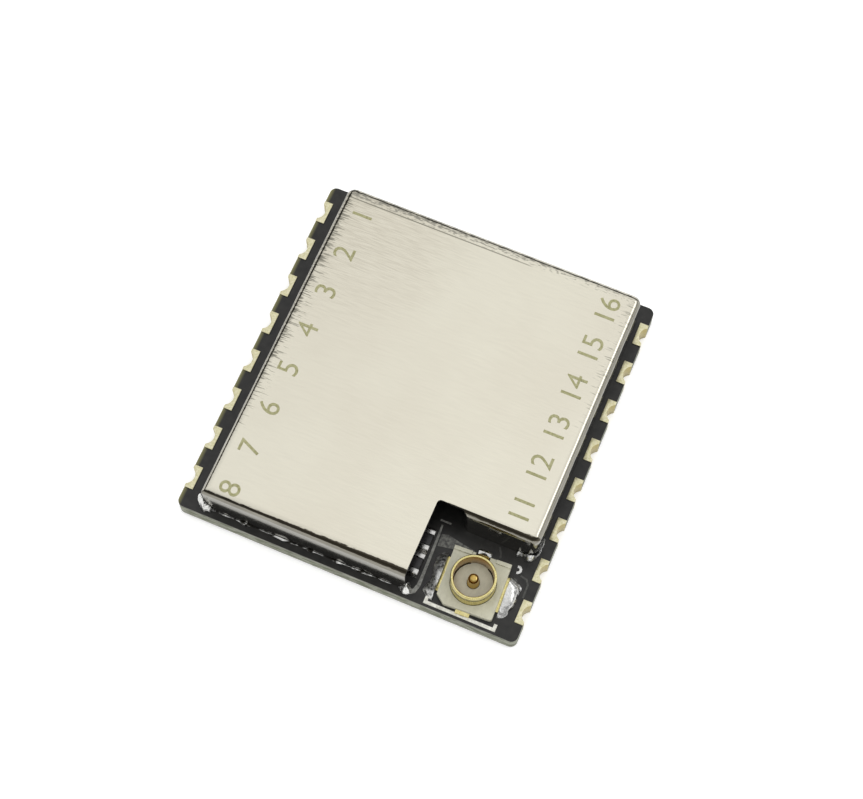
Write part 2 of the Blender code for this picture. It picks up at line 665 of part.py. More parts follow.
def build_jack_solder(material):
    """The three solder joints of the receptacle."""
    reach = SIDE_REACH + FIT
    path = straight_path((JACK_X - reach, JACK_Y + SIDE_HALF + SIDE_SOLDER_PAST_BACK),
                         (JACK_X - reach, JACK_Y - SIDE_HALF - SIDE_SOLDER_PAST_FRONT), (-1.0, 0.0), 26)
    build_fillet("solder_shell_left", path, LEFT_FILM, LEFT_LUMPS, 0.9, material, SIDE_WAVES)
    path = straight_path((JACK_X + reach, JACK_Y - SIDE_HALF - RIGHT_SOLDER_PAST_FRONT),
                         (JACK_X + reach, JACK_Y + SIDE_HALF + RIGHT_SOLDER_PAST_BACK), (1.0, 0.0), 26)
    build_fillet("solder_shell_right", path, RIGHT_FILM, RIGHT_LUMPS, 3.7, material, SIDE_WAVES)

    half = SIGNAL_HALF + SIGNAL_SOLDER_SIDE
    back = HOUSING_HALF + 2 * FIT
    length = SIGNAL_REACH + SIGNAL_SOLDER_END - back
    rings = []
    for i in range(SIGNAL_STEPS + 1):
        t = i / SIGNAL_STEPS
        height = SIGNAL_SOLDER_H * math.sqrt(max(SIGNAL_END_THIN, 1.0 - t ** 4))
        width = half * (1.0 - SIGNAL_NARROWING * max(0.0, t - SIGNAL_STRAIGHT) / (1.0 - SIGNAL_STRAIGHT))
        ring = []
        for k in range(9):
            angle = math.radians(180.0 * k / 8)
            ring.append((JACK_X + width * math.cos(angle), JACK_Y + back + length * t,
                         SEAT + height * min(1.0, SIGNAL_FLATNESS * math.sin(angle))))
        rings.append(ring)
    bm = bmesh.new()
    loft(bm, rings)
    mound = finish_object("solder_signal", bm, material)
    tab = jack_box("tab_space", -SIGNAL_HALF - FIT, 0.0, SIGNAL_HALF + FIT, SIGNAL_REACH + FIT,
                   -THROUGH, TERMINAL_T + FIT, material)
    combine(mound, tab, "DIFFERENCE")
    shade(mound)


def turn_receptacle():
    """Turn the receptacle and its joints together about its axis."""
    axis = Matrix.Translation((JACK_X * MM, JACK_Y * MM, 0.0))
    turn = axis @ Matrix.Rotation(math.radians(JACK_TURN), 4, "Z") @ axis.inverted()
    for obj in bpy.data.objects:
        if obj.name.startswith("connector_") or obj.name in JACK_JOINTS:
            obj.data.transform(turn)


def build_resistors(body_material, cap_material):
    """Chip resistors whose right halves show in the bay."""
    cx = RESISTOR_X
    for number in (1, 2):
        cy = BAY_DEEP - RESISTOR_FROM_BACK - (number - 1) * RESISTOR_SPACING
        half_l = RESISTOR_L / 2
        half_w = RESISTOR_W / 2
        body_half = half_l - CAP_L - FIT
        body = finish_object(f"resistor_{number}_body",
                             prism(box_outline(cx - half_w, cy - body_half, cx + half_w, cy + body_half),
                                   SEAT + CAP_PROUD, SEAT + RESISTOR_H), body_material)
        shade(body)
        for suffix, sign in (("back", 1.0), ("front", -1.0)):
            inner = half_l - CAP_L
            section = [(inner, SEAT), (half_l + CAP_SKIRT, SEAT), (half_l + 0.3 * CAP_SKIRT, SEAT + 0.10),
                       (half_l, SEAT + RESISTOR_H - 0.04), (half_l - 0.04, SEAT + RESISTOR_H + CAP_PROUD),
                       (inner, SEAT + RESISTOR_H + CAP_PROUD)]
            wide = half_w + CAP_PROUD
            bm = bmesh.new()
            loft(bm, [[(cx - wide, cy + sign * along, z) for along, z in section],
                      [(cx + wide, cy + sign * along, z) for along, z in section]])
            cap = finish_object(f"resistor_{number}_cap_{suffix}", bm, cap_material)
            shade(cap)


def main():
    """Build every piece of the module."""
    clear_scene()
    board_material = make_material("board_laminate", (0.025, 0.025, 0.028), 0.0, 0.38)
    gold = make_material("pad_gold", (0.83, 0.74, 0.42), 1.0, 0.32)
    tin = make_material("can_tinned_steel", (0.72, 0.70, 0.63), 1.0, 0.38)
    moulding = make_material("housing_moulding", (0.50, 0.49, 0.43), 0.0, 0.50)
    shell_gold = make_material("shell_gold", (0.82, 0.70, 0.34), 1.0, 0.24)
    pin_gold = make_material("pin_gold", (0.80, 0.62, 0.24), 1.0, 0.22)
    solder = make_material("solder_alloy", (0.75, 0.75, 0.74), 1.0, 0.22)
    resistor_body = make_material("resistor_coating", (0.03, 0.03, 0.03), 0.0, 0.45)
    resistor_cap = make_material("resistor_tin", (0.78, 0.78, 0.77), 1.0, 0.30)
    chip_body = make_material("chip_moulding", (0.02, 0.02, 0.02), 0.0, 0.55)
    ceramic = make_material("crystal_ceramic", (0.35, 0.32, 0.28), 0.0, 0.60)
    lid = make_material("crystal_lid_metal", (0.74, 0.68, 0.50), 1.0, 0.35)
    ferrite = make_material("inductor_ferrite", (0.10, 0.10, 0.10), 0.0, 0.65)
    filter_body = make_material("filter_ceramic", (0.42, 0.33, 0.22), 0.0, 0.50)

    build_board(board_material)
    for row in range(PADS_PER_SIDE):
        build_pad(f"pad_l{row + 1}", -1, row, gold)
        build_pad(f"pad_r{row + 1}", 1, row, gold)
    build_can(tin)
    build_housing(moulding)
    build_shell(shell_gold)
    build_pin(pin_gold)
    build_can_solder(solder)
    build_jack_solder(solder)
    turn_receptacle()
    build_resistors(resistor_body, resistor_cap)
    lid_size = (CRYSTAL_W - 2 * LID_MARGIN, CRYSTAL_L - 2 * LID_MARGIN, LID_H)
    add_chamfered_block("transceiver_chip", CHIP_AT, (CHIP_SIDE, CHIP_SIDE, CHIP_H), SEAT, chip_body)
    add_chamfered_block("switch_chip", SWITCH_AT, (SWITCH_L, SWITCH_W, SWITCH_H), SEAT, chip_body)
    add_chamfered_block("crystal_base", CRYSTAL_AT, (CRYSTAL_W, CRYSTAL_L, CRYSTAL_H), SEAT, ceramic)
    add_chamfered_block("crystal_lid", CRYSTAL_AT, lid_size, SEAT + CRYSTAL_H + FIT, lid)
    add_chamfered_block("inductor", INDUCTOR_AT, (INDUCTOR_W, INDUCTOR_L, INDUCTOR_H), SEAT, ferrite)
    for number, centre in enumerate(FILTERS_AT, start=1):
        add_chamfered_block(f"filter_{number}", centre, (FILTER_L, FILTER_W, FILTER_H), SEAT,
                            filter_body)


main()
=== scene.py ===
"""Looks of a surface-mount radio module: stamped shield can, castellated board, antenna receptacle.

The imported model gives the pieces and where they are. This script gives each piece its finish, adds
the fine pieces that lie on them, such as print, marks and masked tracks, and sets up a pale studio.
Sizes are in millimetres unless a name says otherwise; meshes are written in metres.
"""

import logging
import math
from collections.abc import Sequence
from dataclasses import dataclass
from enum import Enum
from functools import partial

import bmesh
import bpy
from mathutils import Matrix, Vector

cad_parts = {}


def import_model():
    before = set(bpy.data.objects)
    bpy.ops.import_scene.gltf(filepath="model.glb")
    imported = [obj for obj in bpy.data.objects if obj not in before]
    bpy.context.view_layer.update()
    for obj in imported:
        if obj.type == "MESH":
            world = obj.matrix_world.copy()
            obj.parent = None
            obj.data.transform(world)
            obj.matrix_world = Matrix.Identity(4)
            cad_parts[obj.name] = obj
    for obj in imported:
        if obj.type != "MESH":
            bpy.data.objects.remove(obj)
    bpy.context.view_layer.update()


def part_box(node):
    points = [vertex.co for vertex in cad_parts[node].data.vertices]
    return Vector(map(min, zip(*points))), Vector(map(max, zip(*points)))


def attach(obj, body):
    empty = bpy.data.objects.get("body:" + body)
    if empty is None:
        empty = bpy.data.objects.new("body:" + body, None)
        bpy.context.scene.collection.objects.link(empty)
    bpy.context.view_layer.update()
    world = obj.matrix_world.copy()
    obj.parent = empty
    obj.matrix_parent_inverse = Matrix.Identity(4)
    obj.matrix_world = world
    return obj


MM = 0.001
BODY = "root"
PADS_PER_SIDE = 8
PRINT_GAP = 0.002               # print and marks start this far above what carries them
WELD_REACH = 1e-7               # in metres: joins the corners that packed triangles share
FLAT_TURN = 0.4                 # in degrees: faces that turn less are one face
BEVEL_TURN = 38.0               # from here an edge is rounded
CRISP_TURN = 32.0               # from here an edge is shaded crisp
SOLDER_CRISP_TURN = 60.0        # the same on solder, which has softer edges
SOLDER_FOOT_TURN = 62.0         # from here an edge of a joint is where it meets what it wets
DIGIT_SHARE = 0.72              # height of a digit as a share of the font's size
FROM = ("From Min", "From Max")         # ends of a mapped range, and what they become
TO = ("To Min", "To Max")

Colour = tuple[float, float, float, float]
Point = tuple[float, float]
Period = float | Sequence[float]        # of a pattern: the same all ways, or along x, y and z
Tree = bpy.types.NodeTree
Node = bpy.types.Node
Piece = bpy.types.Object
Socket = bpy.types.NodeSocket
Mesh = bmesh.types.BMesh

log = logging.getLogger("radio_module")


def linear(code: str) -> Colour:
    """Turn an sRGB hex value into linear light.

    Args:
        code: Colour as "#RRGGBB".

    Returns:
        Linear red, green and blue, and an alpha of 1.
    """
    channels = []
    for start in (1, 3, 5):
        value = int(code[start:start + 2], 16) / 255.0
        channels.append(value / 12.92 if value <= 0.04045 else ((value + 0.055) / 1.055) ** 2.4)
    return (*channels, 1.0)


def fill(tree: Tree, node: Node, values: dict) -> None:
    """Set and link what a node takes.

    Args:
        tree: Tree of the node.
        node: The node.
        values: By name of a property, or by name or index of an input, a value, a colour as a hex
            value, the socket that feeds the input, or the node whose first output in use does.
            FROM and TO take a pair. The name "ramp" takes the stops of a colour ramp as
            (position, hex value).
    """
    for key, value in values.items():
        if isinstance(value, Node):
            value = next(socket for socket in value.outputs if socket.enabled)
        if isinstance(value, Socket):
            tree.links.new(value, node.inputs[key])
        elif key == "ramp":
            stops = node.color_ramp.elements
            while len(stops) < len(value):
                stops.new(0.5)
            for stop, (position, code) in zip(stops, value):
                stop.position = position
                stop.color = linear(code)
        elif isinstance(key, tuple):
            for name, part in zip(key, value):
                node.inputs[name].default_value = part
        elif isinstance(key, str) and hasattr(node, key):
            setattr(node, key, value)
        else:
            node.inputs[key].default_value = linear(value) if isinstance(value, str) else value


def add_node(tree: Tree, kind: str, values: dict | None = None) -> Node:
    """Add a node.

    Args:
        tree: Tree that takes the node.
        kind: Blender's type name for the node, for a shader node without "ShaderNode". The
            operation of a math node or the type of a mix follows it after a space.
        values: What it takes, as for fill.

    Returns:
        The new node.
    """
    kind, _, choice = kind.partition(" ")
    node = tree.nodes.new(kind if "Node" in kind else "ShaderNode" + kind)
    if choice:
        setattr(node, "data_type" if kind == "Mix" else "operation", choice)
    fill(tree, node, values or {})
    return node


def in_millimetres(tree: Tree, period: Period = 1.0) -> Node:
    """Object coordinates counted in pattern periods.

    Args:
        tree: Tree of the material.
        period: Size of the pattern in millimetres.

    Returns:
        The node, whose vector grows by one for each period.
    """
    sizes = period if isinstance(period, Sequence) else (period,) * 3
    place = add_node(tree, "TexCoord")
    return add_node(tree, "Mapping", {"Scale": tuple(1.0 / (MM * size) for size in sizes),
                                      "Vector": place.outputs["Object"]})


@dataclass(frozen=True)
class Finish:
    """What a surface is made of and how it was made."""

    name: str
    slot: str
    colour: str
    metallic: float
    roughness: float

    def material(self) -> bpy.types.Material:
        """Return the finish as a material, made when it is first asked for."""
        found = bpy.data.materials.get(self.name)
        if found is None:
            found = bpy.data.materials.new(self.name)
            found.use_nodes = True
            found.diffuse_color = linear(self.colour)
            shader = found.node_tree.nodes["Principled BSDF"]
            fill(found.node_tree, shader, {"Base Color": self.colour, "Metallic": self.metallic,
                                           "Roughness": self.roughness})
            self.pattern(found.node_tree, shader)
        return found

    def pattern(self, tree: Tree, shader: Node) -> None:
        """Lay the surface's own grain over the plain values.

        Args:
            tree: Tree of the material.
            shader: Its Principled shader.
        """
        raise NotImplementedError


@dataclass(frozen=True)
class PressMark:
    """Marks of one kind that the press left beside a rim."""

    noise: str              # pattern that breaks them up
    strip: str              # zone across the rim that holds them
    run: str                # zone along the rim that holds them
    density: float          # 0 for none, 0.6 for one solid patch
    tone: str


@dataclass(frozen=True)
class FoldMark:
    """Painted shade: a dark line along a fold, standing in for the dark band that the curved fold
    reflects.
    """

    towards: Point          # the way the wall below the fold faces, in plan
    tilt: float             # of the surface in the middle of the line, in degrees from level
    spread: float           # from there to its edges, in degrees of tilt
    tone: str


@dataclass(frozen=True)
class RolledTinplate(Finish):
    """Tin-plated cold-rolled steel strip, stamped and folded.

    The rolls leave fine streaks along the strip, strongest beside the back left corner, where the lid
    is also darker as painted shade. The press leaves short score lines along the side rims and a
    speckled strip with a long draw line along the back one. The dark lines on each fold are painted
    shade, standing in for the dark band that a curved fold reflects. The walls carry scuffs from the
    die and are painted a darker grey than the lid, as painted shade of the dim surroundings they
    reflect.
    """

    rim_left: float = 0.0
    rim_right: float = 16.0
    rim_back: float = 0.0
    streak: Period = (0.75, 0.045, 0.30)
    score: Period = (0.60, 0.055, 0.30)
    speckle: Period = (0.22, 0.055, 0.30)
    draw_line: Period = (2.6, 0.50, 0.50)
    scuff: Period = (1.60, 1.60, 0.07)
    cloud: Period = 4.5
    # The streaks also darken the lid towards the back left corner as painted shade.
    frost_reach: Point = (1.5, 8.0)     # from the back left corner: streaks are full, and faint
    left_strip: Point = (0.30, 1.45)    # from a rim inwards: its marks are full, and end
    right_strip: Point = (0.40, 1.50)
    back_strip: Point = (0.38, 0.85)
    left_run: Point = (9.0, 17.0)       # the same along the side rims, from the back
    right_run: Point = (4.5, 12.0)
    back_run: Point = (4.0, 34.0)       # and along the back rim, from the left
    line_inset: float = 0.58            # of the long draw line, from the back rim
    line_width: float = 0.055
    marks: Sequence[PressMark] = (PressMark("score", "left strip", "left run", 0.38, "#8C897D"),
                                  PressMark("score", "right strip", "right run", 0.28, "#B0AD9F"),
                                  PressMark("speckle", "back strip", "back run", 0.42, "#98958A"),
                                  PressMark("draw_line", "draw line", "back run", 0.54, "#918E81"))
    mark_cut: Point = (0.84, 0.92)      # density and noise together where a mark starts and is full
    wall_turn: Point = (0.82, 0.62)     # upward part of the normal where lid ends and wall is full
    # Painted shade: a dark line on each fold, standing in for the dark band it reflects.
    folds: Sequence[FoldMark] = (FoldMark((0.0, -1.0), 33.0, 17.0, "#443F35"),
                                 FoldMark((-1.0, 0.0), 27.0, 5.5, "#3A3831"),
                                 FoldMark((0.0, 1.0), 29.0, 5.0, "#45433B"))
    ragged: float = 14.0                # how far specks shift the edges of the fold lines, in degrees
    soft: float = 1.5                   # half the blur of those edges, in degrees
    lean_cut: Point = (0.10, 0.20)      # a wall that leans less than this faces another way
    wall_roughness: float = 0.12
    streak_strength: Point = (0.5, 0.03)        # of their relief on the lid and on the walls
    streak_relief: float = 0.0006
    wave_relief: float = 0.02           # low waves that the press left in the sheet

    def pattern(self, tree: Tree, shader: Node) -> None:
        """Streaks, press marks, fold lines and scuffs; arguments as in Finish."""
        add = partial(add_node, tree)
        noises = {}
        for name, period, detail in (("streak", self.streak, 4.0), ("score", self.score, 2.0),
                                     ("speckle", self.speckle, 3.0), ("draw_line", self.draw_line, 3.0),
                                     ("scuff", self.scuff, 5.0), ("cloud", self.cloud, 2.0)):
            noises[name] = add("TexNoise", {"Scale": 1.0, "Detail": detail,
                                            "Vector": in_millimetres(tree, period)})
        facing = add("NewGeometry").outputs["Normal"]
        height = add("SeparateXYZ", {"Vector": facing}).outputs["Z"]
        upright = add("MapRange", {FROM: self.wall_turn, "Value": height})
        # Painted shade: the walls take a darker grey than the lid, standing in for the dim surroundings
        # they reflect; the noise gives their scuffs.
        scuffs_and_painted_shade = add("ValToRGB", {"ramp": ((0.36, "#76736A"), (0.50, "#817E74"), (0.64, "#8E8B81")),
                                   "Fac": noises["scuff"]})
        colour = add("Mix RGBA", {0: upright, 6: self.lid(tree, noises), 7: scuffs_and_painted_shade})
        # Painted shade: darken each fold where its tilt would reflect a dark band.
        for mark in self.folds:
            line = self.fold_line(tree, mark, facing, height, noises["speckle"])
            colour = add("Mix RGBA", {0: line, 6: colour, 7: mark.tone})
        gloss = add("MapRange", {TO: (self.roughness, self.wall_roughness), "Value": upright})
        keen = add("MapRange", {TO: self.streak_strength, "Value": upright})
        relief = add("Bump", {"Distance": self.streak_relief * MM, "Height": noises["streak"],
                              "Strength": keen})
        waves = add("Bump", {"Strength": 0.5, "Distance": self.wave_relief * MM,
                             "Height": noises["cloud"], "Normal": relief})
        fill(tree, shader, {"Base Color": colour, "Roughness": gloss, "Normal": waves})

    def lid(self, tree: Tree, noises: dict[str, Node]) -> Node:
        """Colour the lid with the streaks of the rolls, painted shade towards the back left corner and
        the marks of the press.

        Args:
            tree: Tree of the material.
            noises: The noise of each pattern, by its name.

        Returns:
            The node that gives the colour.
        """
        add = partial(add_node, tree)
        place = in_millimetres(tree)
        corner = add("VectorMath DISTANCE", {0: place, 1: (self.rim_left, self.rim_back, 0.0)})
        # Real streaks, darker towards the back left corner, where the darkening is painted shade.
        streaks_and_shade = add("MapRange", {FROM: self.frost_reach, TO: (1.0, 0.10), "Value": corner})
        streaked = add("ValToRGB", {"ramp": ((0.32, "#BBB4A4"), (0.50, "#D2CCBB"), (0.68, "#E0DBCB")),
                                    "Fac": noises["streak"]})
        clouded = add("ValToRGB", {"ramp": ((0.35, "#DED9C9"), (0.65, "#E2DECE")),
                                   "Fac": noises["cloud"]})
        colour = add("Mix RGBA", {0: streaks_and_shade, 6: clouded, 7: streaked})
        axes = add("SeparateXYZ", {"Vector": place})
        zones = {"draw line": add("Math COMPARE",
                                  {0: axes.outputs["Y"], 1: self.rim_back - self.line_inset,
                                   2: self.line_width / 2})}
        for name, axis, rim, inwards, reach in (
                ("left strip", "X", self.rim_left, 1.0, self.left_strip),
                ("right strip", "X", self.rim_right, -1.0, self.right_strip),
                ("back strip", "Y", self.rim_back, -1.0, self.back_strip),
                ("left run", "Y", self.rim_back, -1.0, self.left_run),
                ("right run", "Y", self.rim_back, -1.0, self.right_run),
                ("back run", "X", self.rim_left, 1.0, self.back_run)):
            zones[name] = add("MapRange", {FROM: (rim + inwards * reach[1], rim + inwards * reach[0]),
                                           "Value": axes.outputs[axis]})
        for mark in self.marks:
            zone = add("Math MULTIPLY", {0: zones[mark.strip], 1: zones[mark.run]})
            denser = add("Math MULTIPLY_ADD", {0: zone, 1: mark.density, 2: noises[mark.noise]})
            cut = add("MapRange", {FROM: self.mark_cut, "Value": denser, "To Max": zone})
            colour = add("Mix RGBA", {0: cut, 6: colour, 7: mark.tone})
        return colour

    def fold_line(self, tree: Tree, mark: FoldMark, facing: Socket,
                  height: Socket, specks: Node) -> Node:
        """Find where a fold's surface has the tilt of its painted shade line.

        Args:
            tree: Tree of the material.
            mark: The line.
            facing: Normal of the surface.
            height: Its upward part.
            specks: Noise that makes the line's edges ragged.

        Returns:
            The node that gives 1 on the line and 0 off it.
        """
        add = partial(add_node, tree)
        lean = add("VectorMath DOT_PRODUCT", {0: facing, 1: (*mark.towards, 0.0)})
        tilt = add("Math ARCTAN2", {0: lean, 1: height})
        apart = add("Math SUBTRACT", {0: tilt, 1: math.radians(mark.tilt)})
        size = add("Math ABSOLUTE", {0: apart})
        ragged = add("Math MULTIPLY_ADD", {0: specks, 1: -math.radians(self.ragged), 2: size})
        edge = mark.spread - self.ragged / 2
        amount = add("MapRange", {FROM: (math.radians(edge + self.soft), math.radians(edge - self.soft)),
                                  "Value": ragged})
        # On a wall that faces another way the tilt means nothing.
        return add("MapRange", {FROM: self.lean_cut, "Value": lean, "To Max": amount})


@dataclass(frozen=True)
class LaserMark(Finish):
    """Laser-annealed marking on tinplate, written as fine hatch lines.

    The beam leaves a matt olive oxide, a little lighter between the passes.
    """

    hatch: float = 0.07         # spacing of the laser's passes
    speckle: Period = 0.09

    def pattern(self, tree: Tree, shader: Node) -> None:
        """Hatch and speckle; arguments as in Finish."""
        add = partial(add_node, tree)
        hatch = add("TexWave", {"Scale": 1.0, "Distortion": 0.6, "Detail": 1.0, "bands_direction": "Y",
                                "Vector": in_millimetres(tree, self.hatch * math.tau / math.pi)})
        speckle = add("TexNoise", {"Scale": 1.0, "Detail": 2.0,
                                   "Vector": in_millimetres(tree, self.speckle)})
        lines = add("ValToRGB", {"ramp": ((0.15, "#8C8A60"), (0.85, "#BDBB96")),
                                 "Fac": hatch.outputs["Fac"]})
        grain = add("ValToRGB", {"ramp": ((0.30, "#D8D6C6"), (0.62, "#FFFFFF")), "Fac": speckle})
        mixed = add("Mix RGBA", {"blend_type": "MULTIPLY", 0: 1.0, 6: lines, 7: grain})
        fill(tree, shader, {"Base Color": mixed})


@dataclass(frozen=True)
class MaskedLaminate(Finish):
    """Woven glass and epoxy laminate under a black screen-printed solder mask.

    The faces are satin black with a faint orange peel, and olive where the mask thins out along the
    left rim; the routed rims show the glass layers as grey-green stripes with resin between them.
    """

    top: float = 1.0            # height of the masked top face
    bottom: float = 0.06
    rim_left: float = 0.0
    mask_edge: float = 0.035    # mask and copper seen from the side
    routed_edge: float = 0.22   # height of the band that is paler towards the lower edge
    thin_mask: float = 0.20     # width of the thin mask
    peel: Period = 0.35
    layer: Period = (0.80, 0.80, 0.06)
    blotch: Period = (0.60, 0.60, 0.24)
    gloss: float = 0.40         # of the mask, as a share of a clear lacquer's
    rim_roughness: float = 0.62
    relief: float = 0.012

    def pattern(self, tree: Tree, shader: Node) -> None:
        """Mask on level faces, laminate on upright ones; arguments as in Finish."""
        add = partial(add_node, tree)
        facing = add("NewGeometry")
        split = add("SeparateXYZ", {"Vector": facing.outputs["True Normal"]})
        level = add("Math ABSOLUTE", {0: split.outputs["Z"]})
        place = add("SeparateXYZ", {"Vector": in_millimetres(tree)})
        is_face = add("Math GREATER_THAN", {0: level, 1: 0.5})
        is_rim_top = add("Math GREATER_THAN", {0: place.outputs["Z"], 1: self.top - self.mask_edge})
        masked = add("Math MAXIMUM", {0: is_face, 1: is_rim_top})
        peel = add("TexNoise", {"Scale": 1.0, "Detail": 3.0, "Vector": in_millimetres(tree, self.peel)})
        mask = add("ValToRGB", {"ramp": ((0.30, "#151514"), (0.70, "#242321")), "Fac": peel})
        thin = add("MapRange", {FROM: (self.rim_left + self.thin_mask, self.rim_left),
                                "Value": place.outputs["X"]})
        mask = add("Mix RGBA", {0: thin, 6: mask, 7: "#7B784C"})
        layers = add("TexNoise", {"Scale": 1.0, "Detail": 3.0, "Roughness": 0.65,
                                  "Vector": in_millimetres(tree, self.layer)})
        glass = add("ValToRGB", {"ramp": ((0.34, "#66685A"), (0.50, "#868876"), (0.66, "#AFB1A3")),
                                 "Fac": layers})
        blotch = add("TexNoise", {"Scale": 1.0, "Detail": 2.0,
                                  "Vector": in_millimetres(tree, self.blotch)})
        resin = add("MapRange", {FROM: (0.47, 0.60), "To Max": 0.70, "Value": blotch})
        tinted = add("Mix RGBA", {0: resin, 6: glass, 7: "#4E5436"})
        # The rim is paler towards its lower edge.
        paler_bottom = add("MapRange", {FROM: (self.bottom + self.routed_edge, self.bottom), "To Max": 0.50,
                                "Value": place.outputs["Z"]})
        rim = add("Mix RGBA", {0: paler_bottom, 6: tinted, 7: "#B6B7AA"})
        colour = add("Mix RGBA", {0: masked, 6: rim, 7: mask})
        rough = add("MapRange", {TO: (self.rim_roughness, self.roughness), "Value": masked})
        height = add("Mix FLOAT", {0: masked, 2: layers, 3: peel})
        relief = add("Bump", {"Strength": 0.5, "Distance": self.relief * MM, "Height": height})
        fill(tree, shader, {"Base Color": colour, "Roughness": rough, "Specular IOR Level": self.gloss,
                            "Normal": relief})


@dataclass(frozen=True)
class Grained(Finish):
    """A surface with one even grain: two tones, a spread of gloss and a fine relief."""

    second: str = "#FFFFFF"
    grain: Period = 0.1
    spread: float = 0.06
    relief: float = 0.001       # height of the grain
    turn: Point = (0.32, 0.68)  # noise values where the first tone ends and the second is full

    def pattern(self, tree: Tree, shader: Node) -> None:
        """One noise drives tone, gloss and relief; arguments as in Finish."""
        add = partial(add_node, tree)
        grain = add("TexNoise", {"Scale": 1.0, "Detail": 3.0, "Roughness": 0.55,
                                 "Vector": in_millimetres(tree, self.grain)})
        tone = add("ValToRGB", {"ramp": ((self.turn[0], self.colour), (self.turn[1], self.second)),
                                "Fac": grain})
        gloss = add("MapRange", {"Value": grain, FROM: (0.3, 0.7),
                                 TO: (self.roughness - self.spread, self.roughness + self.spread)})
        bump = add("Bump", {"Strength": 0.7, "Distance": self.relief * MM, "Height": grain})
        fill(tree, shader, {"Base Color": self.toned(tree, tone), "Roughness": gloss, "Normal": bump})

    def toned(self, tree: Tree, tone: Node) -> Node:
        """Change the tone where part of the surface differs.

        Args:
            tree: Tree of the material.
            tone: Node that gives the even tone.

        Returns:
            The node that gives the tone of the whole surface.
        """
        return tone


@dataclass(frozen=True)
class EtchedGold(Grained):
    """Immersion gold on etched copper; the drilled half-holes are painted darker and browner as painted
    shade.
    """

    # Painted shade: the tone of the drilled half-holes.
    barrel: str = "#A79B66"
    barrel_turn: Point = (0.85, 0.45)   # upward part of the normal where land ends and barrel is full

    def toned(self, tree: Tree, tone: Node) -> Node:
        """Paint shade into the barrels; arguments as in Grained."""
        add = partial(add_node, tree)
        facing = add("NewGeometry")
        height = add("SeparateXYZ", {"Vector": facing.outputs["Normal"]})
        upright = add("MapRange", {FROM: self.barrel_turn, "Value": height.outputs["Z"]})
        return add("Mix RGBA", {0: upright, 6: tone, 7: self.barrel})


@dataclass(frozen=True)
class DrawnGold(Grained):
    """Gold-plated phosphor bronze, deep drawn into a ring.

    Outside it is a clear pale yellow with draw lines upwards. The inner wall is painted deeper and
    browner, as painted reflection of the ring in itself.
    """

    centre: Point = (0.0, 0.0)          # axis of the ring, in plan
    # Painted reflection: the deeper, browner tone of the inner wall.
    inner: str = "#B2842E"
    inner_turn: Point = (-0.25, -0.85)  # outward part of the normal where that starts and is full

    def toned(self, tree: Tree, tone: Node) -> Node:
        """Paint the ring's reflection of itself onto its inner wall; arguments as in Grained."""
        add = partial(add_node, tree)
        facing = add("NewGeometry")
        apart = add("VectorMath SUBTRACT", {0: in_millimetres(tree), 1: (*self.centre, 0.0)})
        level = add("VectorMath MULTIPLY", {0: apart, 1: (1.0, 1.0, 0.0)})
        outwards = add("VectorMath NORMALIZE", {0: level})
        turned = add("VectorMath DOT_PRODUCT", {0: outwards, 1: facing.outputs["Normal"]})
        painted_reflection = add("MapRange", {FROM: self.inner_turn, "Value": turned})
        return add("Mix RGBA", {0: painted_reflection, 6: tone, 7: self.inner})


# Electroless nickel and immersion gold on copper: pale champagne, matt from the etched copper.
IMMERSION_GOLD = EtchedGold(
    "immersion_gold_on_copper", "pad_gold", "#D0CB9E", 1.0, 0.36, "#EFE9CB", grain=0.09, relief=0.0015)
# Glass-filled liquid-crystal polymer, injection moulded: grey-beige, half matt, faint flow marks.
MOULDED_LCP = Grained(
    "moulded_glass_filled_lcp", "housing_moulding", "#B1AF9C", 0.0, 0.46, "#BDBBA8",
    grain=(0.16, 0.30, 0.16), relief=0.003)
# Brass pin, turned and gold plated over nickel: deeper yellow with a high gloss.
TURNED_GOLD = Grained(
    "turned_brass_gold_plated", "pin_gold", "#B8964C", 1.0, 0.11, "#DCC27A", grain=(0.20, 0.20, 0.05),
    relief=0.0008)
# Tin-silver-copper solder, reflowed from paste: bright and round, broken up by a frosted grain.
REFLOWED_SOLDER = Grained(
    "reflowed_tin_solder", "solder_alloy", "#C6C6C4", 1.0, 0.24, "#EAEAE7", grain=0.15,
    spread=0.09, relief=0.022)
# The same alloy put on with an iron: crinkled, with bright facets and dark creases.
IRON_SOLDER = Grained(
    "iron_laid_tin_solder", "solder_alloy", "#BFBFBC", 1.0, 0.25, "#ECECE9", grain=0.10,
    spread=0.10, relief=0.024)
# The same alloy as a thin film along the wall: its dark run is painted shade and its bright specks are
# painted glints.
SOLDER_WITH_PAINTED_GLINTS = Grained(
    "tin_solder_film_painted_glints", "solder_alloy", "#2B2924", 1.0, 0.26, "#F2F2EF", grain=(0.46, 0.16, 0.16),
    spread=0.08, relief=0.020, turn=(0.47, 0.60))
# The same alloy drawn thin beside the receptacle, where flux has dulled it: mottled grey.
DULLED_SOLDER = Grained(
    "flux_dulled_tin_solder", "solder_alloy", "#8A8A86", 1.0, 0.46, "#FAFAF7", grain=0.13,
    spread=0.12, relief=0.022, turn=(0.36, 0.54))
# Glass overglaze printed on a thick-film resistor: near black with a soft gloss.
OVERGLAZE = Grained(
    "printed_resistor_overglaze", "resistor_coating", "#1B1A1B", 0.0, 0.34, "#2A282A", grain=0.15,
    relief=0.004)
# Nickel barrier under barrel-plated tin: grey silver, softly matt.
BARREL_TIN = Grained(
    "barrel_plated_tin", "resistor_tin", "#C4C3C1", 1.0, 0.26, "#E4E3E0", grain=0.10, relief=0.006)
# Silica-filled epoxy, transfer moulded: dark grey with a fine spark-eroded texture.
TRANSFER_EPOXY = Grained(
    "transfer_moulded_epoxy", "chip_moulding", "#1D1D1E", 0.0, 0.55, "#2B2B2D", grain=0.08, relief=0.004)
